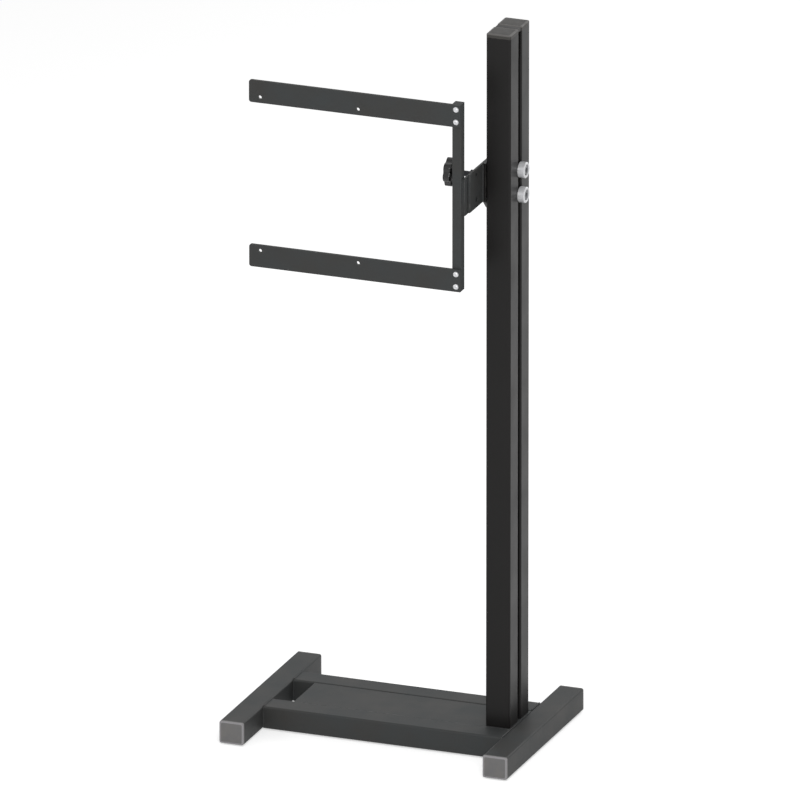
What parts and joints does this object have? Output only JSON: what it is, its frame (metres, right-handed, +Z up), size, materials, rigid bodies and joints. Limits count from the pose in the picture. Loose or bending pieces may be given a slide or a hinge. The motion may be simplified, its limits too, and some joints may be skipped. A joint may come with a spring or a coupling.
{
  "type": "speaker stand",
  "caption": "Floor stand with a slotted twin-tube column, a carriage clamped at any height and a tilting C-shaped frame with screw holes for a speaker.",
  "frame": {"origin": "on the floor, in the middle of the base", "axes": "+X along the rails towards the column, +Y from the speaker side to the back, +Z up"},
  "size_m": [0.59, 0.42, 1.451],
  "materials": {
    "dark_paint": "satin",
    "grey_cap": "matte",
    "top_cap": "matte",
    "rubber_pad": "matte",
    "bare_steel": "sawn",
    "zinc_steel": "bright zinc",
    "black_steel": "black oxide",
    "knob_plastic": "gloss"
  },
  "bodies": {
    "base": {"left_foot": "dark_paint", "right_foot": "dark_paint", "front_rail": "dark_paint", "back_rail": "dark_paint", "deck_plate": "dark_paint", "left_front_cap": "grey_cap", "left_back_cap": "grey_cap", "right_front_cap": "grey_cap", "right_back_cap": "grey_cap", "left_front_pad": "rubber_pad", "left_back_pad": "rubber_pad", "right_front_pad": "rubber_pad", "right_back_pad": "rubber_pad", "front_upright": "dark_paint", "back_upright": "dark_paint", "front_upright_cap": "top_cap", "back_upright_cap": "top_cap", "front_upright_plug": "bare_steel", "back_upright_plug": "bare_steel", "bottom_spacer": "dark_paint", "top_spacer": "dark_paint", "column_bolts": "zinc_steel", "column_washers": "zinc_steel"},
    "carriage": {"mount_plate": "dark_paint", "guide_key": "dark_paint", "bracket_plate": "dark_paint", "clamp_bolts": "zinc_steel", "clamp_washers": "zinc_steel", "clamp_nuts": "zinc_steel", "pivot_bolt": "black_steel", "pivot_washer": "zinc_steel", "pivot_nut": "zinc_steel", "lock_stud": "black_steel", "knob_sleeve": "black_steel", "knob_washer": "black_steel"},
    "frame": {"tilt_plate": "dark_paint", "frame_bar": "dark_paint", "upper_arm": "dark_paint", "lower_arm": "dark_paint", "arm_screws": "zinc_steel"},
    "knob": {"lock_knob": "knob_plastic", "knob_cap": "zinc_steel"}
  },
  "joints": [
    {"name": "height_slide", "type": "slide", "parent": "base", "child": "carriage", "axis": [0, 0, 1], "range_m": [-0.88, 0.2]},
    {"name": "frame_tilt", "type": "hinge", "parent": "carriage", "child": "frame", "pos_m": [0.179, -0.086, 1.126], "axis": [1, 0, 0], "range_deg": [-12, 12]},
    {"name": "knob_turn", "type": "hinge", "parent": "carriage", "child": "knob", "pos_m": [0.135, -0.086, 1.176], "axis": [-1, 0, 0], "range_deg": [0, 180]}
  ]
}
